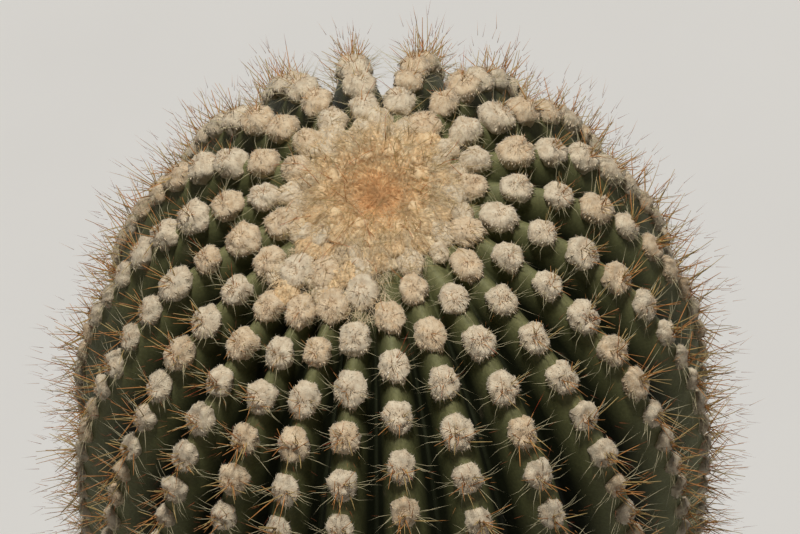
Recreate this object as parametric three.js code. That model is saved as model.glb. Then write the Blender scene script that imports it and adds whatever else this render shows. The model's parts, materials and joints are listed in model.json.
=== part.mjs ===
// A young saguaro: one upright, ribbed, unbranched stem, cut flat at the ground.
// Along the crest of each rib runs a row of areoles, the felted pads that bear the spines,
// and a cushion of wool lies over the growing point at the top.
// Millimetres, +Z up. The origin is the middle of the flat cut, and -Y is the side seen in the photo.
import * as THREE from "three";

// Size of the stem, measured at the rib crests
const STEM_HEIGHT = 1000;
const CREST_RADIUS = 156;
const DOME_HEIGHT = 187; // from the widest ring up to the top
const DOME_FULLNESS = 0.64; // power of the sine that rounds the dome: lower is flatter on top
const FOOT_RADIUS = 122;
const FLARE = 10; // how far the foot spreads at the ground
const FLARE_HEIGHT = 30;
const LEAN = 24.5; // how far towards +X the widest ring stands from the middle of the foot
const PIT_RADIUS = 34; // the hollow over the growing point
const PIT_DEPTH = 9;
const TOP_SHIFT = new THREE.Vector2(-2.5, 23); // the growing point sits off the middle of the dome
const TOP_SHIFT_REACH = 0.6; // share of the dome over which that shift fades out

// Ribs and the grooves between them
const RIB_COUNT = 22;
const RIB_DEPTH = 24;
const GROOVE_START_RADIUS = 22; // the grooves begin here, under the wool
const GROOVE_FULL_RADIUS = 105; // and are full depth from here
const FOOT_GROOVE = 0.45; // share of the groove left at the ground, where bark fills it
const FOOT_GROOVE_HEIGHT = 260;
const RIB_PHASE = 0.018; // radians, the first rib's place
const RIB_DRIFT = [-0.137, -0.037, 0.021]; // uneven spacing, as one, two and three waves round the stem
const RIB_DRIFT_PHASE = [0.244, 1.131, -0.33];
const RIB_SWAY = 0.012; // radians, a slow waver of the crests on the way down
const RIB_SWAY_LENGTH = 430;

// Areoles: each one here stands for two or three on the plant, and is larger than life
const AREOLE_PITCH = 54;
const FIRST_AREOLE = 55; // length down the crest from the growing point to the topmost one
const PAD_REACH = AREOLE_PITCH / 4; // from a pad's middle to either end
const PAD_CREST = 4; // the pad's highest point is this far above its middle
const PAD_HALF_WIDTH = 8;
const PAD_HEIGHT = 8.5;
const PAD_SHARE_OF_RIB = 0.42; // most of the rib's width that half a pad may take
const SPINE_SEAT = 6; // the spines stand below the pad's middle
const SPINE_HALF_WIDTH = 5.5;
const SPINE_LENGTH = 30;
const SPINE_DROOP = 8;
const CORD_HALF_WIDTH = 2.2; // the narrow line of felt from one pad to the next
const CORD_HEIGHT = 1.6;
const FELT_GAP = 0.5; // between the felt and the skin
const ROW_FOOT_CLEAR = 14; // the rows end this far above the ground

// Wool cushion over the growing point
const WOOL_REACH = 0.95; // of the way from the innermost full ring of the stem to the next
const WOOL_HEIGHT = 10;
const WOOL_EDGE = 1.5; // thickness at the rim
const WOOL_SHOULDER = 0.93; // the top rounds over at this share of the rim's radius
const WOOL_DISH = 5; // depth of the hollow in its middle
const WOOL_DISH_RADIUS = 14;

// Facets
const FACETS_PER_RIB = 6;
const PIT_RINGS = 4;
const DOME_RING_STEP = AREOLE_PITCH / 2; // so that pads and the cords between them lie on flat facets
const SIDE_RINGS = 8;
const WOOL_RINGS = 4;
const WOOL_FACETS_PER_RIB = 2;

const TAU = 2 * Math.PI;
const CURVE_SAMPLES = 1200;
const smooth = THREE.MathUtils.smoothstep;
const equatorHeight = STEM_HEIGHT - DOME_HEIGHT;

// The line down one rib crest, as radius and height: the dome first, then the tapered side.
class CrestLine extends THREE.Curve {
  constructor() {
    super();
    this.arcLengthDivisions = CURVE_SAMPLES;
  }

  getPoint(t, target = new THREE.Vector2()) {
    return t < 0.5 ? this.domePoint(2 * t, target) : this.sidePoint(2 * t - 1, target);
  }

  domePoint(share, target) {
    const angle = (Math.PI / 2) * share;
    const radius = CREST_RADIUS * Math.sin(angle) ** DOME_FULLNESS;
    const inPit = Math.max(0, 1 - (radius / PIT_RADIUS) ** 2);
    return target.set(radius, equatorHeight + DOME_HEIGHT * Math.cos(angle) - PIT_DEPTH * inPit ** 2);
  }

  sidePoint(share, target) {
    const height = equatorHeight * (1 - share);
    const taper = (1 + Math.cos(Math.PI * share)) / 2;
    const flare = FLARE * Math.exp(-height / FLARE_HEIGHT);
    return target.set(FOOT_RADIUS + (CREST_RADIUS - FOOT_RADIUS) * taper + flare, height);
  }
}

const crestLine = new CrestLine();
const crestLength = crestLine.getLength();
const domeLength = crestLine.getLengths()[CURVE_SAMPLES / 2];
const crestPoint = (length) => crestLine.getPointAt(Math.min(1, length / crestLength));

// Lengths down the crest at which the stem has a ring of vertices, from the growing point to the ground.
function ringLengths() {
  const firstDomeRing = FIRST_AREOLE - PAD_REACH;
  const lengths = [];
  for (let k = 0; k < PIT_RINGS; k++) lengths.push((firstDomeRing * k) / PIT_RINGS);
  for (let at = firstDomeRing; at < domeLength; at += DOME_RING_STEP) lengths.push(at);
  const start = lengths.at(-1);
  const flareStart = crestLength - FLARE_HEIGHT;
  for (let k = 1; k <= SIDE_RINGS; k++) lengths.push(start + ((flareStart - start) * k) / SIDE_RINGS);
  lengths.push(crestLength);
  return lengths;
}

const rings = ringLengths();

// The angle round the axis at a share of the whole turn and at a height.
function azimuth(turn, height) {
  const base = turn * TAU;
  const fade = 1 - smooth(height, equatorHeight, STEM_HEIGHT);
  const sway = RIB_SWAY * fade * Math.sin(3 * base + (TAU * height) / RIB_SWAY_LENGTH);
  const wave = (drift, k) => drift * Math.sin((k + 1) * base + RIB_DRIFT_PHASE[k]);
  return RIB_DRIFT.map(wave).reduce((sum, drift) => sum + drift, RIB_PHASE + base + sway);
}

// The stem's middle at a height: it leans more and more on the way up, and its top is off centre.
function middleAt(height) {
  const middle = new THREE.Vector2(LEAN * (height / equatorHeight) ** 2, 0);
  const rise = THREE.MathUtils.clamp((height - equatorHeight) / DOME_HEIGHT, 0, 1);
  const fromTop = Math.acos(rise) / (Math.PI / 2);
  return middle.addScaledVector(TOP_SHIFT, Math.max(0, 1 - fromTop / TOP_SHIFT_REACH));
}

// A point in space from a radius, a height and a share of the turn.
function place(radius, height, turn) {
  const angle = azimuth(turn, height);
  const middle = middleAt(height);
  return new THREE.Vector3(middle.x + radius * Math.sin(angle), middle.y - radius * Math.cos(angle), height);
}

// Depth of the groove below the crest: round over the crest and sharp at the bottom.
function grooveDepth(radius, height, turn) {
  const fromCrest = 2 * Math.abs(((turn * RIB_COUNT + 0.5) % 1) - 0.5);
  const grown = smooth(radius, GROOVE_START_RADIUS, GROOVE_FULL_RADIUS);
  const unfilled = FOOT_GROOVE + (1 - FOOT_GROOVE) * smooth(height, 0, FOOT_GROOVE_HEIGHT);
  return RIB_DEPTH * grown * unfilled * (1 - Math.cos((Math.PI / 2) * fromCrest));
}

// A turned shape whose vertices are then moved: shape(radius, height, turn) gives the place of each.
function turnedGeometry(profile, facets, shape) {
  const geometry = new THREE.LatheGeometry(profile, facets);
  const spots = geometry.getAttribute("position");
  for (let i = 0; i < spots.count; i++) {
    const column = Math.floor(i / profile.length) % facets;
    const point = profile[i % profile.length];
    spots.setXYZ(i, ...shape(point.x, point.y, column / facets).toArray());
  }
  geometry.computeVertexNormals();
  return geometry;
}

// How steeply a crest falls at a height: 0 is level, and a right angle is straight down.
function steepness(height) {
  const angle = Math.acos(THREE.MathUtils.clamp((height - equatorHeight) / DOME_HEIGHT, 0, 1));
  const run = CREST_RADIUS * DOME_FULLNESS * Math.sin(angle) ** (DOME_FULLNESS - 1) * Math.cos(angle);
  return Math.atan2(DOME_HEIGHT * Math.sin(angle), run);
}

// The grooves sink square to the dome, and straight inwards below it.
function stemGeometry() {
  const profile = [new THREE.Vector2(0, 0), ...rings.map(crestPoint).reverse()];
  return turnedGeometry(profile, RIB_COUNT * FACETS_PER_RIB, (radius, height, turn) => {
    const depth = grooveDepth(radius, height, turn);
    const slope = steepness(height);
    return place(radius - depth * Math.sin(slope), height, turn).setZ(height - depth * Math.cos(slope));
  });
}

// The cushion's underside follows the skin, and its top bulges round a hollow in the middle.
function woolGeometry() {
  const inner = crestPoint(rings[PIT_RINGS - 1]);
  const rim = inner.clone().lerp(crestPoint(rings[PIT_RINGS]), WOOL_REACH);
  const raised = (point, rise) => new THREE.Vector2(point.x, point.y + rise);
  const below = [...rings.slice(0, PIT_RINGS).map(crestPoint), rim].map((point) => raised(point, FELT_GAP));
  const above = [];
  for (let k = WOOL_RINGS; k >= 0; k--) {
    const share = (WOOL_SHOULDER * k) / WOOL_RINGS;
    const radius = rim.x * share;
    const bulge = WOOL_HEIGHT * (1 - share ** 3) - WOOL_DISH * Math.exp(-((radius / WOOL_DISH_RADIUS) ** 2));
    above.push(new THREE.Vector2(radius, rim.y + FELT_GAP + WOOL_EDGE + bulge));
  }
  return turnedGeometry([...below, ...above], RIB_COUNT * WOOL_FACETS_PER_RIB, place);
}

// A point on the stem's own facets along a crest, between the two rings on either side of it.
function facetPoint(length, turn) {
  const next = Math.max(1, rings.findIndex((ring) => ring >= length));
  const [upper, lower] = [crestPoint(rings[next - 1]), crestPoint(rings[next])];
  const share = (length - rings[next - 1]) / (rings[next] - rings[next - 1]);
  return place(upper.x, upper.y, turn).lerp(place(lower.x, lower.y, turn), share);
}

// One three-sided section of a row: two corners just above the crest and one further out.
function rowSection(length, turn, halfWidth, height, droop = 0) {
  const slope = crestLine.getTangentAt(length / crestLength);
  const angle = azimuth(turn, crestPoint(length).y);
  const radial = new THREE.Vector3(Math.sin(angle), -Math.cos(angle), 0);
  const side = new THREE.Vector3(Math.cos(angle), Math.sin(angle), 0);
  const up = new THREE.Vector3(0, 0, 1);
  const outward = radial.clone().multiplyScalar(-slope.y).addScaledVector(up, slope.x);
  const down = radial.clone().multiplyScalar(slope.x).addScaledVector(up, slope.y);
  const base = facetPoint(length, turn).addScaledVector(outward, FELT_GAP);
  return [
    base.clone().addScaledVector(side, -halfWidth),
    base.clone().addScaledVector(side, halfWidth),
    base.clone().addScaledVector(outward, height).addScaledVector(down, droop),
  ];
}

// Three-sided sections joined into one closed body.
function strungGeometry(sections) {
  const index = [];
  for (let k = 0; k + 1 < sections.length; k++) {
    for (let edge = 0; edge < 3; edge++) {
      const here = 3 * k + edge;
      const beside = 3 * k + ((edge + 1) % 3);
      index.push(here, beside, beside + 3, here, beside + 3, here + 3);
    }
  }
  const last = 3 * (sections.length - 1);
  index.push(0, 2, 1, last, last + 1, last + 2);
  const geometry = new THREE.BufferGeometry();
  geometry.setFromPoints(sections.flat());
  geometry.setIndex(index);
  geometry.computeVertexNormals();
  return geometry;
}

// Width of a rib at a radius, from its crest to the next one's.
function ribWidth(radius, turn) {
  return radius * (azimuth(turn + 1 / RIB_COUNT, STEM_HEIGHT) - azimuth(turn, STEM_HEIGHT));
}

// The pads along one rib, each with a tooth that stands for its spines. Every second row starts lower.
function rowGeometry(rib) {
  const turn = rib / RIB_COUNT;
  const first = FIRST_AREOLE + (rib % 2 ? AREOLE_PITCH / 2 : 0);
  const sections = [];
  for (let middle = first; middle + PAD_REACH < crestLength - ROW_FOOT_CLEAR; middle += AREOLE_PITCH) {
    const halfPad = Math.min(PAD_HALF_WIDTH, PAD_SHARE_OF_RIB * ribWidth(crestPoint(middle).x, turn));
    sections.push(
      rowSection(middle - PAD_REACH, turn, CORD_HALF_WIDTH, CORD_HEIGHT),
      rowSection(middle - PAD_CREST, turn, halfPad, PAD_HEIGHT),
      rowSection(middle + SPINE_SEAT, turn, SPINE_HALF_WIDTH, SPINE_LENGTH, SPINE_DROOP),
      rowSection(middle + PAD_REACH, turn, CORD_HALF_WIDTH, CORD_HEIGHT),
    );
  }
  return strungGeometry(sections);
}

function named(name, geometry, color, roughness) {
  const mesh = new THREE.Mesh(geometry, new THREE.MeshStandardMaterial({ color, roughness, metalness: 0 }));
  mesh.name = name;
  return mesh;
}

const saguaro = new THREE.Group();
saguaro.add(named("stem", stemGeometry(), 0x5d6b41, 0.6));
saguaro.add(named("crown_wool", woolGeometry(), 0xdcc9a6, 0.95));
for (let rib = 0; rib < RIB_COUNT; rib++) {
  const number = String(rib + 1).padStart(2, "0");
  saguaro.add(named(`areole_row_${number}`, rowGeometry(rib), 0xcdbb9c, 0.9));
}

export default saguaro;
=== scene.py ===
# %% [markdown]
# # A young saguaro
#
# The plant is one ribbed green stem. Along the crest of every rib stands a row of areoles, which
# are pads of cream wool that carry the spines, and thick wool lies over the growing point on top.
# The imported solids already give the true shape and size. Here they get their looks: a skin with
# real ribs, wool with clumps and loose hairs, and thin curved spines.
#
# Everything follows one growth rule, the same one that shaped the solids, so each pad sits on its
# crest and each spine on its pad. The rule is written in millimetres and turned to metres once,
# when a mesh is made.

import json
import math

import bpy
import numpy as np
from mathutils import Matrix, Vector

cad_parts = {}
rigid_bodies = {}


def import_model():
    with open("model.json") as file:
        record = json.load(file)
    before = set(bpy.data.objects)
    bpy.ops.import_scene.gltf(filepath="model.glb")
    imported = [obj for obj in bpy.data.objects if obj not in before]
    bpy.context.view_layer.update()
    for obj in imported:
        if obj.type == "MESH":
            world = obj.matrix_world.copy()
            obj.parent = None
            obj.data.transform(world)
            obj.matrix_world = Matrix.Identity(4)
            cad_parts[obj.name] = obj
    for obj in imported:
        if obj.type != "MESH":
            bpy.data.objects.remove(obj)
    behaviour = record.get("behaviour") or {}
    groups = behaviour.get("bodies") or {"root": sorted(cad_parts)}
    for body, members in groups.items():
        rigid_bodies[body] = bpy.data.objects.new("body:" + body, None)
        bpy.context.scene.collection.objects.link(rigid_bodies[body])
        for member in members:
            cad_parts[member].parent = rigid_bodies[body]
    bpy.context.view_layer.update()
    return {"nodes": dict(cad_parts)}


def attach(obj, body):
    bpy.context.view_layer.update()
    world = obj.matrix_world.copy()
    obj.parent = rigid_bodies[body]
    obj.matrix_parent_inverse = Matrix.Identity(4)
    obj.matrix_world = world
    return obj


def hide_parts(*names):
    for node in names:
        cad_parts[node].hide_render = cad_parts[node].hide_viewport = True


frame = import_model()
ROWS = sorted(name for name in frame["nodes"] if name.startswith("areole_row"))
MM = 0.001

# %% [markdown]
# ## The growth rule
#
# A crest is a line down one rib. It runs over the dome, which is a superellipse, flatter on top
# than a circle, and then down the tapering side to the ground. Measured along that line, a length
# from the growing point says how old a place is, because the stem grows at its tip.

# %% The crest line
STEM_HEIGHT = 1000.0
CREST_RADIUS = 156.0
DOME_HEIGHT = 187.0
DOME_FULLNESS = 0.64
FOOT_RADIUS = 122.0
FLARE = 10.0
FLARE_HEIGHT = 30.0
PIT_RADIUS = 34.0
PIT_DEPTH = 9.0
EQUATOR_HEIGHT = STEM_HEIGHT - DOME_HEIGHT
CURVE_SAMPLES = 4001


def smooth(x, low, high):
    """A step from 0 to 1 with soft ends."""
    t = np.clip((np.asarray(x, float) - low) / (high - low), 0, 1)
    return t * t * (3 - 2 * t)


def crest_table():
    """Radius and height of the crest line, and the length down it, at close steps."""
    share = np.linspace(0, 1, CURVE_SAMPLES)
    angle = share * math.pi / 2
    dome_radius = CREST_RADIUS * np.sin(angle) ** DOME_FULLNESS
    pit = PIT_DEPTH * np.clip(1 - (dome_radius / PIT_RADIUS) ** 2, 0, None) ** 2
    dome_height = EQUATOR_HEIGHT + DOME_HEIGHT * np.cos(angle) - pit
    side_height = EQUATOR_HEIGHT * (1 - share)
    taper = (1 + np.cos(math.pi * share)) / 2
    flare = FLARE * np.exp(-side_height / FLARE_HEIGHT)
    side_radius = FOOT_RADIUS + (CREST_RADIUS - FOOT_RADIUS) * taper + flare
    radius = np.concatenate([dome_radius, side_radius[1:]])
    height = np.concatenate([dome_height, side_height[1:]])
    steps = np.hypot(np.diff(radius), np.diff(height))
    return radius, height, np.concatenate([[0], np.cumsum(steps)])


TABLE_RADIUS, TABLE_HEIGHT, TABLE_LENGTH = crest_table()
CREST_LENGTH = TABLE_LENGTH[-1]
DOME_LENGTH = TABLE_LENGTH[CURVE_SAMPLES - 1]


def crest(length):
    """Radius and height of the crest line at a length down from the growing point."""
    radius = np.interp(length, TABLE_LENGTH, TABLE_RADIUS)
    return radius, np.interp(length, TABLE_LENGTH, TABLE_HEIGHT)


print(f"a crest is {CREST_LENGTH:.0f} mm long, {DOME_LENGTH:.0f} mm of it over the dome")

# %% [markdown]
# The ribs don't stand at even angles. They drift closer together on the near side and further
# apart behind, and each one wavers a little on its way down. The stem leans slightly, and its
# growing point sits off the middle of the dome. A place on the plant is a radius, a height and a
# share of the whole turn, and `place` turns those three into a point.

# %% From the rule to a point in space
RIB_COUNT = 22
RIB_PHASE = 0.018
RIB_DRIFT = (-0.137, -0.037, 0.021)
RIB_DRIFT_PHASE = (0.244, 1.131, -0.33)
RIB_SWAY = 0.012
RIB_SWAY_LENGTH = 430.0
LEAN = 24.5
TOP_SHIFT = (-2.5, 23.0)
TOP_SHIFT_REACH = 0.6
TAU = 2 * math.pi


def azimuth(turn, height):
    base = turn * TAU
    fade = 1 - smooth(height, EQUATOR_HEIGHT, STEM_HEIGHT)
    angle = RIB_PHASE + base + RIB_SWAY * fade * np.sin(3 * base + TAU * height / RIB_SWAY_LENGTH)
    for k, drift in enumerate(RIB_DRIFT):
        angle = angle + drift * np.sin((k + 1) * base + RIB_DRIFT_PHASE[k])
    return angle


def middle_at(height):
    """The stem's middle at a height, as x and y."""
    rise = np.clip((height - EQUATOR_HEIGHT) / DOME_HEIGHT, 0, 1)
    shift = np.clip(1 - np.arccos(rise) / (math.pi / 2) / TOP_SHIFT_REACH, 0, None)
    return LEAN * (height / EQUATOR_HEIGHT) ** 2 + TOP_SHIFT[0] * shift, TOP_SHIFT[1] * shift


def place(radius, height, turn):
    angle = azimuth(turn, height)
    x, y = middle_at(height)
    spot = np.broadcast_arrays(x + radius * np.sin(angle), y - radius * np.cos(angle), height)
    return np.stack(spot, axis=-1).astype(float)


def unit(vectors):
    return vectors / np.linalg.norm(vectors, axis=-1, keepdims=True)


GROWING_POINT = place(0.0, STEM_HEIGHT, 0.0)
print("the growing point is at", np.round(GROWING_POINT, 1))

# %% [markdown]
# ## Where the areoles sit
#
# New areoles form at the growing point in turn, so each rib starts its row a fixed part of a step
# after its neighbour. Slow waves round the stem make the turns uneven, as on a living plant. The
# steps are a little longer on one side, and all grow with age as the stem stretches. Every areole
# also needs directions: outwards from the skin, and down its rib. They are measured from the rule
# itself by taking a very small step each way.

# %% The seats of the areoles
SEED = 7
FIRST_SEAT = 42.0
LAST_SEAT_CLEAR = 24.0
SEAT_STAGGER = 0.59
SEAT_PHASE = 0.72
SEAT_WAVES = ((-0.388, -0.90), (-0.182, 2.55), (-0.141, -0.04))
SEAT_STEP = 20.5
SEAT_STEP_UNEVEN = 1.0
SEAT_STEP_SIDE = math.radians(81)
SEAT_STEP_OLD = 25.5
SEAT_AGEING = (200.0, 500.0)
SEAT_JITTER = 0.05
PAD_WIDTH = 14.4
NUDGE, TURN_NUDGE = 0.5, 1e-4
rng = np.random.default_rng(SEED)


def frames_on_crest(length, turn):
    """Points on the crests with unit vectors outwards and down the rib."""
    here = place(*crest(length), turn)
    down = unit(place(*crest(length + NUDGE), turn) - place(*crest(length - NUDGE), turn))
    side = place(*crest(length), turn + TURN_NUDGE) - place(*crest(length), turn - TURN_NUDGE)
    return here, unit(np.cross(down, side)), down


def seat_lengths(rib):
    base = rib / RIB_COUNT * TAU
    step = SEAT_STEP + SEAT_STEP_UNEVEN * math.cos(base - SEAT_STEP_SIDE)
    waves = sum(size * math.sin((k + 1) * base + start) for k, (size, start) in enumerate(SEAT_WAVES))
    at = FIRST_SEAT + step * ((SEAT_PHASE + SEAT_STAGGER * rib + waves) % 1)
    lengths = []
    while at < CREST_LENGTH - LAST_SEAT_CLEAR:
        lengths.append(at)
        aged = float(smooth(at, *SEAT_AGEING))
        at += (step + (SEAT_STEP_OLD - step) * aged) * (1 + SEAT_JITTER * aged * rng.standard_normal())
    return np.array(lengths)


rib_lengths = [seat_lengths(rib) for rib in range(RIB_COUNT)]
seat_rib = np.concatenate([np.full(len(row), rib) for rib, row in enumerate(rib_lengths)])
seat_length = np.concatenate(rib_lengths)
seat_turn = seat_rib / RIB_COUNT
seat_point, seat_out, seat_down = frames_on_crest(seat_length, seat_turn)
print(f"{len(seat_length)} areoles, {len(rib_lengths[0])} on the first rib")

# %% [markdown]
# ## Small helpers
#
# Blender's node trees can be written as plain code. `put` adds one node and feeds its inputs in
# the same breath, from a socket or from a plain value, and `arithmetic` gives a short way to write
# sums with nodes. `new_tree` starts a Geometry Nodes tree with named inputs. `grown` runs such a
# tree on an object, keeps the result as a plain mesh, and leaves no modifier behind, because an
# export drops what isn't plain mesh.

# %% Helpers for node trees and meshes
def put(tree, kind, feeds=None, **settings):
    node = tree.nodes.new(kind)
    for key, value in settings.items():
        setattr(node, key, value)
    for key, value in (feeds or {}).items():
        if isinstance(value, bpy.types.NodeSocket):
            tree.links.new(value, node.inputs[key])
        else:
            node.inputs[key].default_value = value
    return node


def arithmetic(tree):
    """Gives a tree its calc, so that calc("ADD", a, b) is the sum of two numbers or fields."""

    def calc(operation, first, second):
        return put(tree, "ShaderNodeMath", {0: first, 1: second}, operation=operation).outputs[0]

    return calc


def new_tree(name, numbers, **others):
    """A tree that takes in geometry, a material, some numbers and values of other kinds."""
    tree = bpy.data.node_groups.new(name, "GeometryNodeTree")
    tree.interface.new_socket("Geometry", in_out="INPUT", socket_type="NodeSocketGeometry")
    tree.interface.new_socket("Geometry", in_out="OUTPUT", socket_type="NodeSocketGeometry")
    kinds = {**dict.fromkeys(numbers, "Float"), **others, "Material": "Material"}
    for label, kind in kinds.items():
        tree.interface.new_socket(label, in_out="INPUT", socket_type="NodeSocket" + kind)
    return tree, put(tree, "NodeGroupInput").outputs


def finish_tree(tree, geometry, material):
    """Ends a tree with plain geometry in one material."""
    real = put(tree, "GeometryNodeRealizeInstances", {"Geometry": geometry})
    dressed = put(tree, "GeometryNodeSetMaterial", {"Geometry": real.outputs[0], "Material": material})
    put(tree, "NodeGroupOutput", {"Geometry": dressed.outputs[0]})


def mesh_object(name, points, faces, attributes=None, smooth_shade=True):
    """An object from points in millimetres. Attributes are one vector or number a point."""
    mesh = bpy.data.meshes.new(name)
    mesh.from_pydata((np.asarray(points) * MM).tolist(), [], faces)
    for label, values in (attributes or {}).items():
        values = np.asarray(values, dtype=np.float32)
        kind, field = ("FLOAT", "value") if values.ndim == 1 else ("FLOAT_VECTOR", "vector")
        mesh.attributes.new(label, kind, "POINT").data.foreach_set(field, values.ravel())
    if faces:
        shade = mesh.shade_smooth if smooth_shade else mesh.shade_flat
        shade()
    mesh.validate()
    result = bpy.data.objects.new(name, mesh)
    bpy.context.scene.collection.objects.link(result)
    return result


def grown(name, base, tree, **values):
    """Runs a tree on an object and returns what it makes as a new plain object."""
    modifier = base.modifiers.new("grow", "NODES")
    modifier.node_group = tree
    labels = {label.replace("_", " ").capitalize(): value for label, value in values.items()}
    for item in tree.interface.items_tree:
        if item.in_out == "INPUT" and item.name in labels:
            modifier[item.identifier] = labels.pop(item.name)
    if labels:
        raise KeyError(f"{tree.name} has no input {sorted(labels)}")
    depsgraph = bpy.context.evaluated_depsgraph_get()
    source = base.evaluated_get(depsgraph)
    mesh = bpy.data.meshes.new_from_object(source, preserve_all_data_layers=True, depsgraph=depsgraph)
    base.modifiers.remove(modifier)
    mesh.name = name
    result = bpy.data.objects.new(name, mesh)
    bpy.context.scene.collection.objects.link(result)
    return result


def drop(*objects):
    """Removes helper objects once the pieces are made from them."""
    for item in objects:
        bpy.data.objects.remove(item)


def triangles(item):
    return sum(len(face.vertices) - 2 for face in item.data.polygons)


# %% [markdown]
# ## Finishes
#
# All finishes are procedural. They read object coordinates in metres, so a noise scale of 500
# means clumps of about 2 mm. The skin also reads three numbers that the mesh carries: how deep in
# a groove a point lies, how near a pad, and how corky with age. The groove depth darkens the green
# as painted shade.

# %% Helpers for materials
def grey(level):
    return (level,) * 3


def new_material(name, roughness, specular=0.4, sheen=0.0):
    material = bpy.data.materials.new(name)
    material.use_nodes = True
    shader = material.node_tree.nodes["Principled BSDF"]
    shader.inputs["Roughness"].default_value = roughness
    shader.inputs["Specular IOR Level"].default_value = specular
    shader.inputs["Sheen Weight"].default_value = sheen
    return material, material.node_tree, shader


def noise(tree, scale, detail=4.0, roughness=0.55):
    coordinates = put(tree, "ShaderNodeTexCoord").outputs["Object"]
    feeds = {"Vector": coordinates, "Scale": scale, "Detail": detail, "Roughness": roughness}
    return put(tree, "ShaderNodeTexNoise", feeds).outputs["Fac"]


def ramp(tree, factor, stops):
    """A colour ramp. Stops are pairs of a place from 0 to 1 and a colour."""
    node = put(tree, "ShaderNodeValToRGB", {"Fac": factor})
    elements = node.color_ramp.elements
    while len(elements) < len(stops):
        elements.new(0.5)
    for element, (at, colour) in zip(elements, stops):
        element.position = at
        element.color = (*colour, 1)
    return node.outputs["Color"]


def blend(tree, factor, first, second, mode="MIX"):
    node = put(tree, "ShaderNodeMix", data_type="RGBA", blend_type=mode)
    for key, value in {0: factor, 6: first, 7: second}.items():
        if isinstance(value, bpy.types.NodeSocket):
            tree.links.new(value, node.inputs[key])
        else:
            node.inputs[key].default_value = value if key == 0 else (*value, 1)
    return node.outputs[2]


def bump(tree, shader, height, strength, distance):
    feeds = {"Height": height, "Strength": strength, "Distance": distance}
    tree.links.new(put(tree, "ShaderNodeBump", feeds).outputs["Normal"], shader.inputs["Normal"])


# %% The green skin
# The green runs from crest to flank to the groove floor. Its darkening into the grooves is painted shade.
SKIN_CREST = (0.208, 0.206, 0.092)
SKIN_FLANK = (0.148, 0.154, 0.062)
SKIN_GROOVE_SHADE = (0.013, 0.016, 0.006)
SKIN_BLOOM = (0.165, 0.180, 0.095)
CORK_LIGHT = (0.250, 0.195, 0.125)
CORK_DARK = (0.085, 0.062, 0.040)
FLANK_AT, GROOVE_SHADE_AT = 0.22, 0.62
# The pale bloom is the skin's own colour. Its fading beside the crests is painted shade.
BLOOM_ON_CREST, BLOOM_IN_SHADE, BLOOM_REACH = 1.0, 0.15, 0.4
BLOOM_SCALE, SPECKLE_SCALE, CORK_SCALE, PORE_SCALE = 45.0, 700.0, 60.0, 420.0


def skin_finish():
    """Green with painted shade that darkens it into the grooves, pale bloom that the painted shade keeps
    to the crests, and cork at the foot.
    """
    material, tree, shader = new_material("waxy_skin", 0.62, specular=0.2)
    groove = put(tree, "ShaderNodeAttribute", attribute_name="groove").outputs["Fac"]
    cork = put(tree, "ShaderNodeAttribute", attribute_name="cork").outputs["Fac"]
    # Painted shade: the green darkens from the crest through the flank to the dark groove floor.
    green = ramp(tree, groove, [(0.0, SKIN_CREST), (FLANK_AT, SKIN_FLANK), (GROOVE_SHADE_AT, SKIN_GROOVE_SHADE)])
    mottle = ramp(tree, noise(tree, BLOOM_SCALE, 5.0), [(0.35, grey(0.0)), (0.75, grey(0.5))])
    # Painted shade: the bloom is kept to the crests and fades on the shaded groove sides.
    bloom_out_of_shade = ramp(tree, groove, [(0.0, grey(BLOOM_ON_CREST)), (BLOOM_REACH, grey(BLOOM_IN_SHADE))])
    green = blend(tree, blend(tree, 1.0, mottle, bloom_out_of_shade, "MULTIPLY"), green, SKIN_BLOOM)
    speckle = ramp(tree, noise(tree, SPECKLE_SCALE, 2.0), [(0.4, grey(0.86)), (0.62, grey(1.06))])
    green = blend(tree, 1.0, green, speckle, "MULTIPLY")
    rough_cork = noise(tree, CORK_SCALE, 8.0, 0.7)
    brown = ramp(tree, rough_cork, [(0.35, CORK_DARK), (0.6, CORK_LIGHT)])
    edge = arithmetic(tree)("ADD", cork, rough_cork)
    corky = ramp(tree, edge, [(0.62, grey(0.0)), (0.92, grey(1.0))])
    tree.links.new(blend(tree, corky, green, brown), shader.inputs["Base Color"])
    bump(tree, shader, noise(tree, PORE_SCALE, 6.0, 0.6), 0.22, 0.0006)
    return material


skin_material = skin_finish()
print(f"{skin_material.name}: {len(skin_material.node_tree.nodes)} nodes")


# %% Wool and spines
FELTED = {"roughness": 0.95, "specular": 0.15, "sheen": 0.15}
FIBRE_SCALE, TUFT_SCALE = 2600.0, 700.0


def matted(name, light, dark, clump_scale):
    """Wool: pale and dark clumps, a fine fibrous grain and a soft sheen."""
    material, tree, shader = new_material(name, **FELTED)
    clumps = ramp(tree, noise(tree, clump_scale, 5.0, 0.6), [(0.36, dark), (0.6, light)])
    grain = ramp(tree, noise(tree, FIBRE_SCALE, 2.0), [(0.35, grey(0.88)), (0.65, grey(1.06))])
    colour = blend(tree, 1.0, clumps, grain, "MULTIPLY")
    tree.links.new(colour, shader.inputs["Base Color"])
    bump(tree, shader, noise(tree, TUFT_SCALE, 4.0, 0.7), 0.6, 0.0006)
    return material


def horny(name, colour, roughness=0.42):
    """A spine: one plain colour, a little uneven from place to place, and a low gloss."""
    material, tree, shader = new_material(name, roughness)
    low, high = ([channel * part for channel in colour] for part in (0.82, 1.14))
    uneven = ramp(tree, noise(tree, 140.0, 2.0), [(0.35, low), (0.65, high)])
    tree.links.new(uneven, shader.inputs["Base Color"])
    bump(tree, shader, noise(tree, 3000.0, 1.0), 0.1, 0.0002)
    return material


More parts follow.
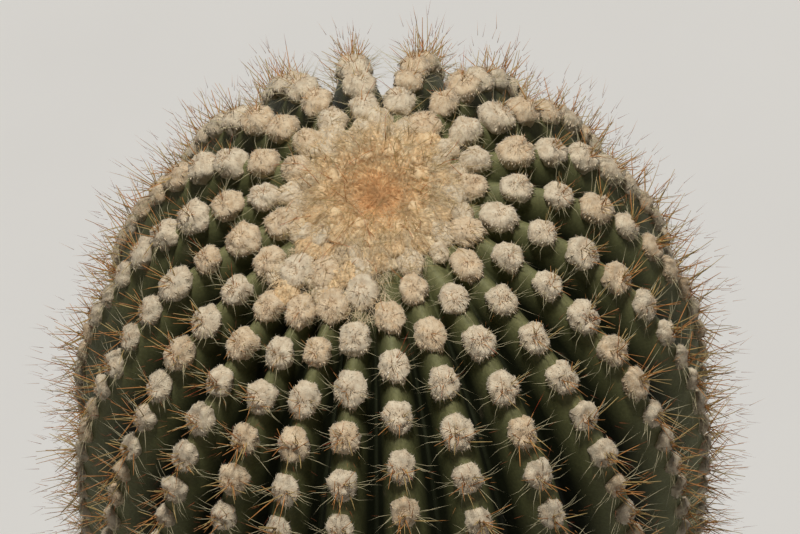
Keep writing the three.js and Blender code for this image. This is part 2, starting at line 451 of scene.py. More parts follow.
wool_cream = matted("wool_cream", (0.78, 0.68, 0.51), (0.62, 0.50, 0.35), 300.0)
wool_tan = matted("wool_tan", (0.77, 0.63, 0.44), (0.61, 0.45, 0.28), 300.0)
wool_worn = matted("wool_worn", (0.74, 0.64, 0.49), (0.56, 0.46, 0.33), 240.0)
wool_old = matted("wool_old", (0.42, 0.38, 0.31), (0.22, 0.19, 0.15), 220.0)
wool_gold = matted("wool_gold", (0.88, 0.68, 0.42), (0.76, 0.53, 0.29), 260.0)
hair_cream = horny("hair_cream", (0.84, 0.75, 0.59), 0.8)
hair_tan = horny("hair_tan", (0.76, 0.57, 0.38), 0.7)
hair_sand = horny("hair_sand", (0.95, 0.79, 0.54), 0.7)
hair_gold = horny("hair_gold", (0.94, 0.73, 0.43), 0.7)
fur_orange = horny("fur_orange", (0.92, 0.58, 0.28), 0.8)
spine_amber = horny("spine_amber", (0.58, 0.26, 0.08))
spine_straw = horny("spine_straw", (0.53, 0.38, 0.15))
spine_pale = horny("spine_pale", (0.66, 0.59, 0.37))
spine_tip = horny("spine_tip", (0.34, 0.09, 0.035))
spine_red = horny("spine_red", (0.60, 0.10, 0.04))
spine_grey = horny("spine_grey", (0.22, 0.18, 0.14), 0.6)
print(len(bpy.data.materials), "materials")

# %% [markdown]
# ## The ribbed skin
#
# The stem could be sculpted, but it follows a rule, so it is grown from one. First comes a smooth
# body of revolution at the level of the crests. Each of its points carries the direction in which
# it sinks and by what share. A Geometry Nodes tree then sinks the grooves, swells the crest a
# little under each pad, and adds the low relief of living skin and of old cork. Keeping those
# depths as inputs means that they can be tried out without touching the code.

# %% The smooth body and what its points carry
GROOVE_START_RADIUS = 22.0
GROOVE_FULL_RADIUS = 105.0
FOOT_GROOVE = 0.45
FOOT_GROOVE_HEIGHT = 260.0
COLUMNS_PER_RIB = 20
DOME_RINGS = 88
SIDE_RINGS = 62
PAD_SWELL_LENGTH = 8.0
PAD_SWELL_WIDTH = 9.0
CORK_HEIGHT = 230.0
CORK_WAVES = ((3, 0.26, 1.0), (7, 0.16, 2.0), (RIB_COUNT, 0.14, 1.6))


def groove_share(radius, height, turn):
    """How far a point sinks, from 0 on the crest to 1 at the bottom of a full groove."""
    from_crest = 2 * np.abs((turn * RIB_COUNT + 0.5) % 1 - 0.5)
    grown_in = smooth(radius, GROOVE_START_RADIUS, GROOVE_FULL_RADIUS)
    unfilled = FOOT_GROOVE + (1 - FOOT_GROOVE) * smooth(height, 0, FOOT_GROOVE_HEIGHT)
    return grown_in * unfilled * (1 - np.cos(math.pi / 2 * from_crest))


def fall_angle(height):
    """How steeply a crest falls at a height: 0 is level, a right angle is straight down."""
    angle = np.arccos(np.clip((height - EQUATOR_HEIGHT) / DOME_HEIGHT, 0, 1 - 1e-9))
    run = CREST_RADIUS * DOME_FULLNESS * np.sin(angle) ** (DOME_FULLNESS - 1) * np.cos(angle)
    return np.arctan2(DOME_HEIGHT * np.sin(angle), run)


def body_of_revolution():
    columns = RIB_COUNT * COLUMNS_PER_RIB
    dome = DOME_LENGTH * np.arange(1, DOME_RINGS + 1) / DOME_RINGS
    side = DOME_LENGTH + (CREST_LENGTH - DOME_LENGTH) * np.arange(1, SIDE_RINGS + 1) / SIDE_RINGS
    lengths = np.concatenate([dome, side])[:, None]
    turn = (np.arange(columns) / columns)[None, :]
    radius, height = crest(lengths)
    points = place(radius, height, turn)
    angle, fall = azimuth(turn, height), fall_angle(height)
    across = np.sin(fall)
    inward = [-np.sin(angle) * across, np.cos(angle) * across, -np.cos(fall) * np.ones_like(angle)]
    groove = groove_share(radius, height, turn)
    column_rib = np.round(turn * RIB_COUNT).astype(int) % RIB_COUNT
    swell = np.zeros_like(groove)
    for rib, row in enumerate(rib_lengths):
        mine = column_rib[0] == rib
        off_crest = ((turn[:, mine] * RIB_COUNT - rib + 0.5) % RIB_COUNT - 0.5) / RIB_COUNT
        across_rib = off_crest * TAU * radius
        near = np.exp(-(((lengths[:, :, None] - row) / PAD_SWELL_LENGTH) ** 2)).sum(axis=2)
        swell[:, mine] = near * np.exp(-((across_rib / PAD_SWELL_WIDTH) ** 2))
    reach = 1 + sum(size * np.sin(count * turn * TAU + start) for count, size, start in CORK_WAVES)
    cork = 1 - smooth(height / reach, 0, CORK_HEIGHT)
    carried = {"inward": np.stack(inward, axis=-1), "groove": groove, "swell": swell, "cork": cork}
    return points, carried


def closed_rings(points, carried=None):
    """Joins rings of points into a closed surface, with one point at the top and one below."""
    rings, columns = points.shape[:2]
    ends = [points[0].mean(axis=0), points[-1].mean(axis=0)]
    index = np.arange(rings * columns).reshape(rings, columns)
    beside = np.roll(index, -1, axis=1)
    quads = np.stack([index[:-1], index[1:], beside[1:], beside[:-1]], axis=-1).reshape(-1, 4)
    top, foot = np.full(columns, rings * columns), np.full(columns, rings * columns + 1)
    top_fan = np.stack([top, index[0], beside[0]], axis=-1)
    foot_fan = np.stack([foot, beside[-1], index[-1]], axis=-1)
    faces = quads.tolist() + top_fan.tolist() + foot_fan.tolist()
    flat = {}
    for label, values in (carried or {}).items():
        tail = [values[0].mean(axis=0, keepdims=True), values[-1].mean(axis=0, keepdims=True)]
        flat[label] = np.concatenate([values.reshape(-1, *values.shape[2:]), *tail])
    return np.concatenate([points.reshape(-1, 3), ends]), faces, flat


smooth_points, smooth_carried = body_of_revolution()
smooth_body = mesh_object("smooth_body", *closed_rings(smooth_points, smooth_carried))
print("smooth body:", triangles(smooth_body), "triangles")


# %% The tree that sinks the grooves and raises the relief
RIB_DEPTH = 24.0
RELIEF_SCALE, CORK_RELIEF_SCALE = 40.0, 110.0


def carried_value(tree, name, kind="FLOAT"):
    """Reads what the points of a mesh carry under a name."""
    return put(tree, "GeometryNodeInputNamedAttribute", {"Name": name}, data_type=kind).outputs[0]


def scaled(tree, vector, factor):
    feeds = {0: vector, "Scale": factor}
    return put(tree, "ShaderNodeVectorMath", feeds, operation="SCALE").outputs[0]


def grain(tree, seed, scale, detail):
    """Noise to both sides of zero, which is another one for another seed."""
    feeds = {"W": seed, "Scale": scale, "Detail": detail}
    field = put(tree, "ShaderNodeTexNoise", feeds, noise_dimensions="4D").outputs["Fac"]
    return arithmetic(tree)("SUBTRACT", field, 0.5)


def skin_tree():
    tree, given = new_tree("Ribbed skin", ("Rib depth", "Swell", "Relief", "Cork relief", "Seed"))
    calc = arithmetic(tree)

    def lifted(depth, field, size):
        return calc("SUBTRACT", depth, calc("MULTIPLY", field, size))

    depth = calc("MULTIPLY", carried_value(tree, "groove"), given["Rib depth"])
    depth = lifted(depth, carried_value(tree, "swell"), given["Swell"])
    depth = lifted(depth, grain(tree, given["Seed"], RELIEF_SCALE, 3.0), given["Relief"])
    rough = grain(tree, given["Seed"], CORK_RELIEF_SCALE, 6.0)
    rough = calc("MULTIPLY", rough, carried_value(tree, "cork"))
    depth = lifted(depth, rough, given["Cork relief"])
    offset = scaled(tree, carried_value(tree, "inward", "FLOAT_VECTOR"), depth)
    moved = put(tree, "GeometryNodeSetPosition", {"Geometry": given["Geometry"], "Offset": offset})
    finish_tree(tree, moved.outputs[0], given["Material"])
    return tree


skin = grown(
    "skin",
    smooth_body,
    skin_tree(),
    rib_depth=RIB_DEPTH * MM,
    swell=1.4 * MM,
    relief=1.6 * MM,
    cork_relief=5.0 * MM,
    seed=3.1,
    material=skin_material,
)
drop(smooth_body)
print("skin:", triangles(skin), "triangles")

# %% [markdown]
# ## Wool pads
#
# A pad is felt: matted wool in soft clumps, domed at its upper end and ragged at its lower end.
# One pad is a ball pressed into that outline, with two sizes of noise for the clumps. Fine hairs
# and thicker locks stand on it by themselves, because noise can't give a ragged edge against the
# dark grooves. Eight different pads are enough, as each seat turns, tilts and scales its own.
#
# In a pattern, Z points out of the plant and Y down the rib.

# %% The ball that every pad starts from
BALL_FULLNESS = 0.8
BALL_TURNED_UNDER = 105.0
BALL_UNDERSIDE = (135.0, 160.0)
RIM_FROM, RIM_FULL = 0.5, 1.1
RIM_LOWER = 0.35
LOWER_LEAN, LOWER_LEAN_FULL = 0.6, 0.6
HEART_MIDDLE = 0.1
HEART_REACH = 0.42
HEART_HOLLOW, HEART_HOLLOW_REACH = 0.16, 0.25


def ball(name, rows, columns):
    """A full, slightly boxy ball of radius 1 mm that carries where its hairs stand and lean."""
    degrees = np.concatenate([np.linspace(0, BALL_TURNED_UNDER, rows + 1)[1:], BALL_UNDERSIDE])
    polar = np.radians(degrees)[:, None]
    angle = (TAU * np.arange(columns) / columns)[None, :]
    x = np.sin(polar) * np.sin(angle)
    y = -np.sin(polar) * np.cos(angle)
    z = np.cos(polar) * np.ones_like(angle)
    round_points = np.stack([x, y, z], axis=-1)
    points = np.sign(round_points) * np.abs(round_points) ** BALL_FULLNESS
    from_heart = x**2 + (y - HEART_MIDDLE) ** 2
    points[..., 2] *= 1 - HEART_HOLLOW * np.exp(-from_heart / HEART_HOLLOW_REACH**2)
    lean_y = -np.cos(polar) * np.cos(angle) + LOWER_LEAN * smooth(y, 0, LOWER_LEAN_FULL)
    lean = [np.cos(polar) * np.sin(angle), lean_y, -np.sin(polar) * np.ones_like(angle)]
    carried = {
        "lean": np.stack(lean, axis=-1),
        "everywhere": np.ones_like(x),
        "rim": smooth(np.hypot(x, y) + RIM_LOWER * y, RIM_FROM, RIM_FULL),
        "heart": (np.hypot(x, y - HEART_MIDDLE) < HEART_REACH) * (z > 0) * 1.0,
    }
    return mesh_object(name, *closed_rings(points, carried))


# %% The tree that presses a ball into a pad
CLUMP_FINENESS = (1.0, 2.4)


def pad_tree():
    numbers = ("Width", "Length", "Height", "Taper", "Clump size", "Clump relief", "Seed")
    tree, given = new_tree("Wool pad", numbers)
    calc = arithmetic(tree)
    spot = put(tree, "GeometryNodeInputPosition").outputs[0]
    axes = put(tree, "ShaderNodeSeparateXYZ", {0: spot}).outputs
    lower = calc("DIVIDE", calc("MAXIMUM", axes["Y"], 0.0), MM)
    narrowed = calc("SUBTRACT", 1.0, calc("MULTIPLY", calc("POWER", lower, 2.0), given["Taper"]))
    half_width = calc("MULTIPLY", given["Width"], 0.5 / MM)
    half_length = calc("MULTIPLY", given["Length"], 0.5 / MM)
    height = calc("MULTIPLY", given["Height"], 1 / MM)
    feeds = {
        "X": calc("MULTIPLY", calc("MULTIPLY", axes["X"], narrowed), half_width),
        "Y": calc("MULTIPLY", axes["Y"], half_length),
        "Z": calc("MULTIPLY", calc("MULTIPLY", axes["Z"], narrowed), height),
    }
    shaped = put(tree, "ShaderNodeCombineXYZ", feeds).outputs[0]
    pressed = put(tree, "GeometryNodeSetPosition", {"Geometry": given["Geometry"], "Position": shaped})
    rises = []
    for finer in CLUMP_FINENESS:
        scale = calc("DIVIDE", finer, given["Clump size"])
        rises.append(calc("DIVIDE", grain(tree, given["Seed"], scale, 1.0), finer))
    rise = calc("MULTIPLY", calc("ADD", *rises), given["Clump relief"])
    offset = scaled(tree, put(tree, "GeometryNodeInputNormal").outputs[0], rise)
    lumpy = put(tree, "GeometryNodeSetPosition", {"Geometry": pressed.outputs[0], "Offset": offset})
    finish_tree(tree, lumpy.outputs[0], given["Material"])
    return tree


# %% The tree for loose hairs on any surface
LOWEST_FACING = -0.15


def random_number(tree, low, high, seed):
    feeds = {2: low, 3: high, "Seed": seed}
    return put(tree, "FunctionNodeRandomValue", feeds, data_type="FLOAT").outputs[1]


def random_vector(tree, reach, seed):
    """A vector for each point, each number of it within a reach to both sides of zero."""
    feeds = {0: [-size for size in reach], 1: reach, "Seed": seed}
    return put(tree, "FunctionNodeRandomValue", feeds, data_type="FLOAT_VECTOR").outputs[0]


def fuzz_tree():
    """Hairs that lean along the surface's lean attribute, where the attribute named Where is 1."""
    numbers = ("Density", "Upright", "Lean", "Scatter", "Thickness", "Shortest", "Longest")
    tree, given = new_tree("Loose hairs", numbers, Hair="Object", Where="String", Seed="Int")

    def added(first, second):
        return put(tree, "ShaderNodeVectorMath", {0: first, 1: second}, operation="ADD").outputs[0]

    normal = put(tree, "GeometryNodeInputNormal").outputs[0]
    feeds = {0: put(tree, "ShaderNodeSeparateXYZ", {0: normal}).outputs["Z"], 1: LOWEST_FACING}
    facing = put(tree, "FunctionNodeCompare", feeds, operation="GREATER_THAN").outputs[0]
    density = arithmetic(tree)("MULTIPLY", given["Density"], carried_value(tree, given["Where"]))
    feeds = {"Mesh": given["Geometry"], "Selection": facing, "Density": density, "Seed": given["Seed"]}
    sown = put(tree, "GeometryNodeDistributePointsOnFaces", feeds)
    leaning = scaled(tree, carried_value(tree, "lean", "FLOAT_VECTOR"), given["Lean"])
    standing = scaled(tree, sown.outputs["Normal"], given["Upright"])
    chance = scaled(tree, random_vector(tree, (1.0, 1.0, 1.0), given["Seed"]), given["Scatter"])
    aim = added(added(standing, leaning), chance)
    turned = put(tree, "FunctionNodeAlignRotationToVector", {"Vector": aim}, axis="Z")
    length = random_number(tree, given["Shortest"], given["Longest"], given["Seed"])
    feeds = {"X": given["Thickness"], "Y": given["Thickness"], "Z": length}
    size = put(tree, "ShaderNodeCombineXYZ", feeds).outputs[0]
    feeds = {
        "Points": sown.outputs["Points"],
        "Instance": put(tree, "GeometryNodeObjectInfo", {"Object": given["Hair"]}).outputs["Geometry"],
        "Rotation": turned.outputs[0],
        "Scale": size,
    }
    stood = put(tree, "GeometryNodeInstanceOnPoints", feeds)
    finish_tree(tree, stood.outputs[0], given["Material"])
    return tree


# %% The tree that stands patterns on their seats
TURN_SHARE = (1.0, 1.0, 1.6)


def stand_tree():
    """One of several patterns on every seat, Z outwards and Y down the rib."""
    numbers = ("Tilt", "Smallest", "Largest")
    tree, given = new_tree("Stand on seats", numbers, Patterns="Collection", Seed="Int")
    outward, down = (carried_value(tree, name, "FLOAT_VECTOR") for name in ("outward", "down"))
    facing = put(tree, "FunctionNodeAlignRotationToVector", {"Vector": outward}, axis="Z")
    feeds = {"Rotation": facing.outputs[0], "Vector": down}
    turned = put(tree, "FunctionNodeAlignRotationToVector", feeds, axis="Y", pivot_axis="Z")
    tilt = scaled(tree, random_vector(tree, TURN_SHARE, given["Seed"]), given["Tilt"])
    feeds = {"Rotation": turned.outputs[0], "Rotate By": tilt}
    tilted = put(tree, "FunctionNodeRotateRotation", feeds, rotation_space="LOCAL")
    luck = random_number(tree, given["Smallest"], given["Largest"], given["Seed"])
    feeds = {"Collection": given["Patterns"], "Separate Children": True, "Reset Children": True}
    patterns = put(tree, "GeometryNodeCollectionInfo", feeds)
    feeds = {
        "Points": given["Geometry"],
        "Instance": patterns.outputs[0],
        "Pick Instance": True,
        "Instance Index": carried_value(tree, "pattern", "INT"),
        "Rotation": tilted.outputs[0],
        "Scale": arithmetic(tree)("MULTIPLY", carried_value(tree, "size"), luck),
    }
    stood = put(tree, "GeometryNodeInstanceOnPoints", feeds)
    finish_tree(tree, stood.outputs[0], given["Material"])
    return tree


PAD_TREE, FUZZ_TREE, STAND_TREE = pad_tree(), fuzz_tree(), stand_tree()
for tree in (PAD_TREE, FUZZ_TREE, STAND_TREE):
    print(f"tree {tree.name}: {len(tree.nodes)} nodes")

# %% [markdown]
# A hair is a cone with three sides, 1 m long and 1 m thick, so that the scale of an instance is
# its true size. The patterns go into collections that aren't part of the scene, from which
# Geometry Nodes picks one for each seat. Old pads lie far from the eye and are worn smooth, so
# their patterns get by with fewer faces.

# %% Patterns for young and old pads
PAD_PATTERNS = 8
PAD_LENGTH = 16.4
PAD_HEIGHT = 5.3
PAD_TAPER = 0.3
CLUMP_SIZE = 5.6
CORE_SEED, CORE_SEED_STEP = 10.0, 3.7
HAIR_SEED = 100
PER_SQUARE_MM = 1 / MM**2


def collection_of(name, objects):
    made = bpy.data.collections.new(name)
    for item in objects:
        bpy.context.scene.collection.objects.unlink(item)
        made.objects.link(item)
    return made


hair_points = [(math.cos(TAU * k / 3) / 2, math.sin(TAU * k / 3) / 2, 0) for k in range(3)] + [(0, 0, 1)]
hair = mesh_object("hair", np.array(hair_points) / MM, [(0, 1, 3), (1, 2, 3), (2, 0, 3), (2, 1, 0)])


def hairs_on(name, core, density, thickness, shortest, longest, **others):
    """Hairs on a felt core. Sizes are in millimetres and the density is for each square one."""
    return grown(
        name,
        core,
        FUZZ_TREE,
        hair=hair,
        density=density * PER_SQUARE_MM,
        thickness=thickness * MM,
        shortest=shortest * MM,
        longest=longest * MM,
        material=wool_cream,
        **others,
    )


def pad_patterns(name, rows, columns, relief, **kinds):
    """A set of felt cores, and a set for each kind of hair that stands on them."""
    start = ball("ball", rows, columns)
    sets = {"cores": [], **{kind: [] for kind in kinds}}
    for k in range(PAD_PATTERNS):
        core = grown(
            f"{name}_core_{k}",
            start,
            PAD_TREE,
            width=PAD_WIDTH * MM,
            length=PAD_LENGTH * MM,
            height=PAD_HEIGHT * MM,
            taper=PAD_TAPER,
            clump_size=CLUMP_SIZE * MM,
            clump_relief=relief * MM,
            seed=CORE_SEED + CORE_SEED_STEP * k,
            material=wool_cream,
        )
        sets["cores"].append(core)
        for kind, values in kinds.items():
            sets[kind].append(hairs_on(f"{name}_{kind}_{k}", core, seed=HAIR_SEED + k, **values))
    drop(start)
    return {kind: collection_of(f"{name}_{kind}", made) for kind, made in sets.items()}


young_patterns = pad_patterns(
    "young",
    rows=9,
    columns=26,
    relief=6.2,
    locks={
        "where": "rim", "density": 0.16, "upright": 0.16, "lean": 1.0, "scatter": 0.4,
        "thickness": 0.9, "shortest": 2.2, "longest": 3.6,
    },
    hairs={
        "where": "everywhere", "density": 0.56, "upright": 0.46, "lean": 1.0, "scatter": 0.8,
        "thickness": 0.22, "shortest": 1.1, "longest": 2.4,
    },
    hearts={
        "where": "heart", "density": 0.70, "upright": 0.7, "lean": 0.3, "scatter": 0.7,
        "thickness": 0.30, "shortest": 1.4, "longest": 2.5,
    },
)
old_patterns = pad_patterns(
    "old",
    rows=3,
    columns=10,
    relief=5.0,
    locks={
        "where": "rim", "density": 0.09, "upright": 0.25, "lean": 1.0, "scatter": 0.5,
        "thickness": 1.3, "shortest": 2.2, "longest": 4.0,
    },
    hairs={
        "where": "everywhere", "density": 0.05, "upright": 0.4, "lean": 1.0, "scatter": 0.7,
        "thickness": 0.48, "shortest": 1.8, "longest": 3.2,
    },
)
for pattern_set in (*young_patterns.values(), *old_patterns.values()):
    usual = np.mean([triangles(item) for item in pattern_set.objects])
    print(f"{pattern_set.name}: {usual:.0f} triangles each")

# %% [markdown]
# Young wool is cream and thick. With age it greys, wears away and sinks between the spines, so
# the pads shrink down the stem. Near the growing point the ribs are too close together for a full
# pad, so there a pad is only as wide as its rib. A second tint, a little more tan, is dealt out
# at random by whole pads, which gives the rows their natural unevenness.

# %% Standing the pads on the crests
YOUNG_LENGTH = 262.0
GREYED_LENGTH, GREYED_SPREAD = 520.0, 150.0
AGE_FROM, AGED_SHARE = 250.0, 0.16
WORN_FROM, WORN_TO, WORN_SHARE = 100.0, 215.0, 0.24
SUNNY_SIDE, SUNNY_SLOPE = 0.22, 0.6
ROOM_FILLED = 1.1
PAD_LIFT = 0.6
TAN_SHARE = 0.34
TAN_TOP_SHARE = 0.45
TAN_TOP = (50.0, 120.0)


def seats(chosen, sizes, lift=0.0):
    """Seats as points without faces, with what the standing tree reads."""
    carried = {"outward": seat_out[chosen], "down": seat_down[chosen], "size": sizes}
    return with_patterns(mesh_object("seats", seat_point[chosen] + lift * seat_out[chosen], [], carried))


def with_patterns(made):
    """Deals one of the patterns to every seat."""
    picks = rng.integers(0, PAD_PATTERNS, len(made.data.vertices)).astype(np.int32)
    made.data.attributes.new("pattern", "INT", "POINT").data.foreach_set("value", picks)
    return made


def joined_piece(name, seat_object, patterns, material, tilt=0.1, smallest=0.92, largest=1.1, seed=1):
    piece = grown(
        name,
        seat_object,
        STAND_TREE,
        patterns=patterns,
        tilt=tilt,
        smallest=smallest,
        largest=largest,
        seed=seed,
        material=material,
    )
    print(f"{name}: {triangles(piece)} triangles")
    return piece


rib_room = TAU * crest(seat_length)[0] / RIB_COUNT / PAD_WIDTH
age = smooth(seat_length, AGE_FROM, CREST_LENGTH)
worn = 1.0 - WORN_SHARE * smooth(seat_length, WORN_FROM, WORN_TO) - AGED_SHARE * age
worn = worn * (1 + SUNNY_SIDE * np.clip(seat_out[:, 1], 0, SUNNY_SLOPE))
pad_size = np.minimum(worn, ROOM_FILLED * rib_room)
young = seat_length < YOUNG_LENGTH
greyed = seat_length > GREYED_LENGTH + rng.uniform(-GREYED_SPREAD, GREYED_SPREAD, len(seat_length))
tan_share = TAN_SHARE + TAN_TOP_SHARE * (1 - smooth(seat_length, *TAN_TOP))
tan = rng.random(len(seat_length)) < tan_share
pads = []
for tint, chosen, patterns, finishes in (
    ("cream", young & ~tan, young_patterns, (wool_cream, wool_cream, hair_cream, hair_tan)),
    ("tan", young & tan, young_patterns, (wool_tan, wool_tan, hair_cream, hair_tan)),
    ("worn", ~young & ~greyed, old_patterns, [wool_worn] * 3),
    ("old", greyed, old_patterns, [wool_old] * 3),
):
    where = seats(chosen, pad_size[chosen], lift=PAD_LIFT)
    for (kind, pattern_set), finish in zip(patterns.items(), finishes):
        pads.append(joined_piece(f"pad_{kind}_{tint}", where, pattern_set, finish))
    drop(where)

# %% [markdown]
# ## Spines
#
# A saguaro areole bears a few stout amber spines that stand out and many thin pale ones that
# spread sideways over the grooves. Each needle is a thin closed sliver with three sides that
# bends a little. Its darker tip is a sliver of its own, so that both colours stay plain finishes.

# %% Needles
NEEDLE_SIDES = 3


def needles(starts, aims, lengths, thicknesses, bends, shares):
    """Closed slivers along bent lines, between two shares of their length, as points and faces."""
    aims = unit(np.asarray(aims, float))
    side = unit(np.cross(aims, (0.31, 0.57, 0.76)))
    other = np.cross(aims, side)
    around = TAU * np.arange(NEEDLE_SIDES) / NEEDLE_SIDES
    columns = []
    for share in shares:
        centre = starts + aims * (lengths * share)[:, None] + bends * (lengths * share**2)[:, None]
        if share == 1:
            columns.append(centre)
            continue
        radius = (thicknesses / 2 * (1 - share) ** 0.7)[:, None]
        columns += [centre + radius * (math.cos(a) * side + math.sin(a) * other) for a in around]
    ring = list(range(NEEDLE_SIDES))
    pattern = [tuple(reversed(ring))]
    for level in range(len(shares) - 1):
        low, high = level * NEEDLE_SIDES, (level + 1) * NEEDLE_SIDES
        pointed = shares[level + 1] == 1
        for k, beside in zip(ring, ring[1:] + ring[:1]):
            upper = (high,) if pointed else (high + beside, high + k)
            pattern.append((low + k, low + beside, *upper))
    if shares[-1] < 1:
        pattern.append(tuple((len(shares) - 1) * NEEDLE_SIDES + k for k in ring))
    points = np.stack(columns, axis=1)
    firsts = np.arange(len(points)) * points.shape[1]
    faces = [tuple(int(first) + k for k in face) for first in firsts for face in pattern]
    return points.reshape(-1, 3), faces


def fan(count, nearest, furthest, heading, width):
    """Directions between two angles from straight out, headed to within a width of a heading."""
    lean = np.radians(rng.uniform(nearest, furthest, count))
    way = heading + rng.uniform(-width, width, count)
    return np.stack([np.sin(lean) * np.sin(way), np.sin(lean) * np.cos(way), np.cos(lean)], axis=-1)


def between(low, high, count):
    return rng.uniform(low, high, (count, len(low)))


# %% The spines of one areole
SHAFT_SHARES = (0.0, 0.38, 0.74)
TIP_SHARES = (0.72, 1.0)
WHOLE_SHARES = (0.0, 0.5, 1.0)
UPRIGHT_SPINES, LEANING_SPINES = 2, 4
CENTRAL_BASE = (-3.4, -2.0, 2.0), (3.4, 4.5, 3.2)
CENTRAL_BEND = (-0.12, -0.12, 0.0), (0.12, 0.12, 0.01)
CENTRAL_THICKNESS = (0.52, 0.72)
UPRIGHT_ANGLES, UPRIGHT_LENGTHS = (2, 30), (20, 29)
LEANING_ANGLES, LEANING_LENGTHS = (30, 64), (13, 23)
RADIAL_BASE = (-3.0, -2.5, 0.8), (3.0, 5.0, 2.6)
RADIAL_BEND = (-0.2, -0.42, -0.3), (0.2, 0.42, 0.2)
RADIAL_LENGTHS, RADIAL_THICKNESS = (11, 19), (0.28, 0.38)
SIDEWAYS, SIDEWAYS_FROM, SIDEWAYS_HEADING, SIDEWAYS_SPREAD = 5, 3.4, 1.45, 0.55
SIDEWAYS_ANGLES = (58, 82)
DOWNWARDS, DOWNWARDS_SPREAD = 2, 0.7
DOWNWARDS_ANGLES = (55, 80)


def central_spray():
    """Some of the stout spines of one areole, from the middle of its pad."""
    count = UPRIGHT_SPINES + LEANING_SPINES
    starts = between(*CENTRAL_BASE, count)
    upright = fan(UPRIGHT_SPINES, *UPRIGHT_ANGLES, 0, math.pi)
    leaning = fan(LEANING_SPINES, *LEANING_ANGLES, 0, math.pi)
    upright_lengths = rng.uniform(*UPRIGHT_LENGTHS, UPRIGHT_SPINES)
    leaning_lengths = rng.uniform(*LEANING_LENGTHS, LEANING_SPINES)
    bends = between(*CENTRAL_BEND, count)
    thicknesses = rng.uniform(*CENTRAL_THICKNESS, count)
    lengths = np.concatenate([upright_lengths, leaning_lengths])
    return starts, np.concatenate([upright, leaning]), lengths, thicknesses, bends


def radial_spray():
    """The thin pale spines of one areole: two low fans over the grooves and a few downwards."""
    count = 2 * SIDEWAYS + DOWNWARDS
    starts = between(*RADIAL_BASE, count)
    starts[:, 0] += np.repeat([SIDEWAYS_FROM, -SIDEWAYS_FROM, 0.0], (SIDEWAYS, SIDEWAYS, DOWNWARDS))
    fans = [
        fan(SIDEWAYS, *SIDEWAYS_ANGLES, SIDEWAYS_HEADING, SIDEWAYS_SPREAD),
        fan(SIDEWAYS, *SIDEWAYS_ANGLES, -SIDEWAYS_HEADING, SIDEWAYS_SPREAD),
        fan(DOWNWARDS, *DOWNWARDS_ANGLES, 0, DOWNWARDS_SPREAD),
    ]
    bends = between(*RADIAL_BEND, count)
    lengths = rng.uniform(*RADIAL_LENGTHS, count)
    return starts, np.concatenate(fans), lengths, rng.uniform(*RADIAL_THICKNESS, count), bends


sets = {"amber_shafts": [], "straw_shafts": [], "amber_tips": [], "straw_tips": [], "radials": []}
for k in range(PAD_PATTERNS):
    for tint in ("amber", "straw"):
        spray = central_spray()
        sets[f"{tint}_shafts"].append(mesh_object(f"{tint}_shaft_{k}", *needles(*spray, SHAFT_SHARES)))
        sets[f"{tint}_tips"].append(mesh_object(f"{tint}_tip_{k}", *needles(*spray, TIP_SHARES)))
    sets["radials"].append(mesh_object(f"radial_{k}", *needles(*radial_spray(), WHOLE_SHARES)))
spine_sets = {kind: collection_of(kind, made) for kind, made in sets.items()}

# %% [markdown]
# Spines near the growing point are still short, the central ones most of all, and very old ones
# are worn and grey. A small random tilt keeps the rows from looking combed.

# %% Standing the spines
OLD_SPINES_FROM, OLD_SPINES_SPREAD = 560.0, 120.0
SPINE_GROWTH = (50.0, 125.0)
FIRST_CENTRAL, FIRST_RADIAL = 0.4, 0.8
SPINE_WEAR = 0.12
SPINE_TILT = 0.16
grey_from = OLD_SPINES_FROM + rng.uniform(-OLD_SPINES_SPREAD, OLD_SPINES_SPREAD, len(seat_length))
old_spines = seat_length > grey_from
spine_growth = smooth(seat_length, *SPINE_GROWTH)
central_size = (FIRST_CENTRAL + (1 - FIRST_CENTRAL) * spine_growth) * (1 - SPINE_WEAR * age)
radial_size = (FIRST_RADIAL + (1 - FIRST_RADIAL) * spine_growth) * (1 - SPINE_WEAR * age)
young_finishes = (spine_amber, spine_straw, spine_tip, spine_amber, spine_pale)
spines = []
for age_name, chosen, finishes in (
    ("young", ~old_spines, young_finishes),
    ("old", old_spines, [spine_grey] * len(spine_sets)),
):
    for (kind, pattern_set), finish in zip(spine_sets.items(), finishes):
        size = radial_size if kind == "radials" else central_size
        where = seats(chosen, size[chosen])
        label = f"spine_{kind}_{age_name}"
        spines.append(joined_piece(label, where, pattern_set, finish, tilt=SPINE_TILT))
        drop(where)

# %% [markdown]
# ## The crown
#
# Over the growing point lies a cushion of felt with a hollow in its middle, orange-tan at the
# centre and golden further out. Very young areoles crowd round it in spirals, smaller towards the
# middle, and a drift of more wool runs down the near left side. The cushion is a closed surface
# made from rings round the growing point.

# %% The felt cushion
CUSHION_RADIUS = 39.0
CUSHION_HEIGHT = 10.0
CUSHION_EDGE = 2.0
CUSHION_SKIRT = 3.0
CUSHION_ROUNDNESS = 2.1
CUSHION_LUMPS = 1.5
CUSHION_SWIRLS = ((0.9, 13), (0.7, -21))
CUSHION_RAGGED, CUSHION_LOBES, CUSHION_TURN = 0.05, 9, 1.3
CUSHION_DISH = 5.0
CUSHION_DISH_RADIUS = 15.0
CUSHION_RINGS = 40
CUSHION_COLUMNS = 110
ON_DOME = slice(0, CURVE_SAMPLES)


def dome_height(radius):
    return np.interp(radius, TABLE_RADIUS[ON_DOME], TABLE_HEIGHT[ON_DOME])


def cushion_height(radius):
    """The height of the felt at a distance from the growing point, and of the crests outside."""
    rim = dome_height(CUSHION_RADIUS)
    share = np.minimum(radius / CUSHION_RADIUS, 1)
    swollen = CUSHION_EDGE + CUSHION_HEIGHT * (1 - share**CUSHION_ROUNDNESS)
    hollow = CUSHION_DISH * np.exp(-((radius / CUSHION_DISH_RADIUS) ** 2))
    return rim + swollen - hollow + np.minimum(dome_height(radius) - rim, 0)


